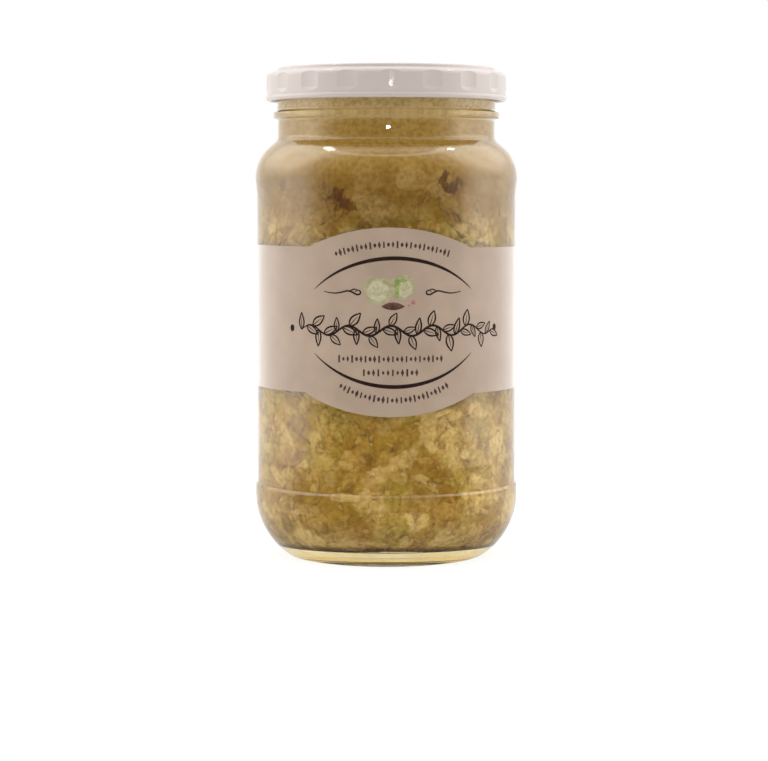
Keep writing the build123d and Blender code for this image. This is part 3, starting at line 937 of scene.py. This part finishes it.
def lineMesh(name, lines):
    # lines in mm to a mesh of edges
    points, edges = [], []
    for line in lines:
        first = len(points)
        points += [(mm(u), mm(v), 0) for u, v in line]
        edges += [(first + i, first + i + 1) for i in range(len(line) - 1)]
    mesh = bpy.data.meshes.new(name)
    mesh.from_pydata(points, edges, [])
    return addObject(name, mesh)


def inkMaterial(name, deep, light, grain=0.8):
    # offset ink soaked into uncoated paper: matt, a little uneven
    material, tree, surface = newMaterial(name)
    place = addNode(tree, "ShaderNodeTexCoord").outputs["Object"]
    colour = clouded(tree, place, grain, [(0.35, deep), (0.65, light)])
    body = addNode(tree, "ShaderNodeBsdfPrincipled", inputs={
        "Base Color": colour, "Roughness": 0.6, "IOR": 1.5, "Specular IOR Level": 0.12})
    tree.links.new(body.outputs[0], surface)
    return material


def makeLabel():
    # uncoated paper, faintly mottled where the glue wets it through
    material, tree, surface = newMaterial("labelPaper")
    place = addNode(tree, "ShaderNodeTexCoord").outputs["Object"]
    colour = clouded(tree, place, label["mottle"], label["paper"])
    fibre = grained(tree, place, label["fibre"], label["fibreDepth"], label["fibreStrength"], 3.0)
    body = addNode(tree, "ShaderNodeBsdfPrincipled", inputs={
        "Base Color": colour, "Roughness": 0.55, "IOR": 1.5, "Specular IOR Level": 0.5,
        "Sheen Weight": 1.0, "Sheen Roughness": 0.4, "Normal": fibre})
    tree.links.new(body.outputs[0], surface)
    dress(frame["nodes"]["label"], material)


# two halves of cabbage, a heap of mustard seed and cloves of garlic:
# name, inks, layer, and each shape as its middle and outline
pictures = [
    ("printedCabbage", "#827e5c", "#969072", 0, [
        ((-3.4, 9.6), ellipse((-3.4, 9.6), 4.3, 4.1, 40, 0.03, 3)),
        ((3.5, 10.6), ellipse((3.5, 10.6), 3.7, 3.8, 40, 0.04, 2, 1.0))]),
    ("printedHearts", "#948e72", "#a59e84", 1, [
        ((-3.7, 9.4), ellipse((-3.7, 9.4), 3.1, 2.9, 40, 0.05, 4)),
        ((4.1, 10.2), ellipse((4.1, 10.2), 2.3, 2.5, 40, 0.06, 3))]),
    ("printedRibs", "#6b783f", "#828d55", 2, [
        ((1.9, 10.6), ellipse((1.9, 10.4), 0.75, 3.0, 24, 0.12, 4)),
        ((3.6, 12.3), ellipse((3.4, 12.5), 1.7, 0.55, 20, 0.15, 5))]),
    ("printedSeeds", "#35221c", "#5a3f33", 3, [
        ((0.85, 4.9), [(-2.7, 4.9), (-1.8, 5.5), (-0.6, 6.0), (0.8, 6.15), (2.3, 5.9), (3.4, 5.4),
                       (4.3, 4.95), (3.3, 4.35), (1.9, 3.95), (0.5, 3.85), (-1.0, 4.1), (-2.0, 4.5)])]),
    ("printedGarlic", "#7a5147", "#a5827a", 3, [
        ((5.6, 5.6), ellipse((5.6, 5.6), 1.0, 0.65, 16, 0.15, 3)),
        ((7.0, 6.1), ellipse((7.0, 6.1), 0.85, 0.75, 16, 0.15, 3, 2.0))]),
]


def makePrint():
    wrap = makeWrapTree()
    marks = makeMarksTree()
    ink = inkMaterial("labelInk", label["ink"], "#2a1a15")
    softInk = inkMaterial("labelSmallInk", label["softInk"], "#4a372f")

    def roll(flat, name, material, layer):
        piece = plainMesh(flat, wrap, {
            "Radius": mm(label["radius"] + layer * label["layer"]), "Middle": mm(label["middle"]),
            "Skin": material}, name)
        discard(flat)
        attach(piece, "root")

    # framing arcs, scrolls and end dots
    drawing = ([], [])
    for shape in arcs:
        line = bow(shape, 60)
        addRibbon(drawing, line, tapered(len(line), shape["width"], 0.08))
    for side, place in scrollPlaces:
        for stroke, width in strokes:
            line = [(place[0] + side * u, place[1] + v) for u, v in smoothLine(stroke)]
            addRibbon(drawing, line, tapered(len(line), width, 0.35))
    for spot in dots:
        addField(drawing, spot, ellipse(spot, *dotSize, 20), 2)
    roll(addMesh("flatLines", *drawing), "printedLines", ink, 0)

    # leaf garland across the middle
    g = garland
    stem = []
    for step in range(g["steps"] + 1):
        u = g["from"] + (g["to"] - g["from"]) * step / g["steps"]
        stem.append((u, g["height"] + g["wave"] * math.sin(2 * math.pi * (u - g["from"]) / g["length"])))
    drawing = ([], [])
    addRibbon(drawing, stem, tapered(len(stem), g["stroke"] * 1.4, 0.4))
    roll(addMesh("flatStem", *drawing), "printedStem", ink, 1)
    leafForms = []
    for swell in g["leafSwell"]:
        upper = [(t / 12 * g["leafLong"], math.sin(math.pi * (t / 12) ** 0.8) * g["leafWide"] / 2 * swell)
                 for t in range(13)]
        lower = [(u, -v) for u, v in reversed(upper)]
        form = ([], [])
        addRibbon(form, upper, tapered(13, g["stroke"], 0.6))
        addRibbon(form, lower, tapered(13, g["stroke"], 0.6))
        addRibbon(form, [(0, 0), (g["leafLong"] * 0.35, 0), (g["leafLong"] * 0.72, 0)], [0.3, 0.26, 0.1])
        leafForms.append(form)
    leaves = patternSet("leafForm", leafForms)
    path = lineMesh("stemLine", [stem])
    flat = plainMesh(path, marks, {"Patterns": leaves, "Spacing": mm(g["spacing"]), "Lean": g["lean"],
                                   "Seed": g["seed"], "Skin": ink}, "flatLeaves")
    discard(path, *leaves.objects)
    roll(flat, "printedLeaves", ink, 0)

    # small rows: ovals, lozenges and short bars
    wide, tall = rowMarks["lozenge"]
    across, up = rowMarks["bar"]
    drawings = []
    for outline in (ellipse((0, 0), *rowMarks["oval"], 12),
                    [(0, -tall), (wide, 0), (0, tall), (-wide, 0)],
                    [(-across, -up), (across, -up), (across, up), (-across, up)]):
        drawings.append(([], []))
        addField(drawings[-1], (0, 0), outline, 2)
    forms = patternSet("smallMark", drawings)
    path = lineMesh("rowLines", [bow(row, 40) for row in rows])
    flat = plainMesh(path, marks, {"Patterns": forms, "Spacing": mm(rowMarks["spacing"]), "Lean": 0.0,
                                   "Seed": rowMarks["seed"], "Skin": softInk}, "flatMarks")
    discard(path, *forms.objects)
    roll(flat, "printedMarks", softInk, 0)

    # the picture of the cabbages, seed and garlic
    for name, deep, light, layer, shapes in pictures:
        drawing = ([], [])
        for centre, outline in shapes:
            addField(drawing, centre, outline)
        roll(addMesh("flat" + name, *drawing), name, inkMaterial(name + "Ink", deep, light, 1.4), layer)
    # veins over the cabbages
    drawing = ([], [])
    for centre, reach in veins["from"]:
        for turn in veins["turns"]:
            angle = math.radians(turn)
            tip = (centre[0] + reach * math.cos(angle), centre[1] + reach * 1.1 * math.sin(angle))
            bend = ((centre[0] + tip[0]) / 2 + 0.35 * math.sin(angle * 2), (centre[1] + tip[1]) / 2 + 0.2)
            line = smoothLine([centre, bend, tip], 5)
            addRibbon(drawing, line, tapered(len(line), veins["width"], 0.4))
    roll(addMesh("flatVeins", *drawing), "printedVeins", inkMaterial("veinInk", "#87865c", "#96946d"), 2.5)


makeLabel()
makePrint()
print("label ready")

bpy.context.scene.view_settings.view_transform = "Standard"
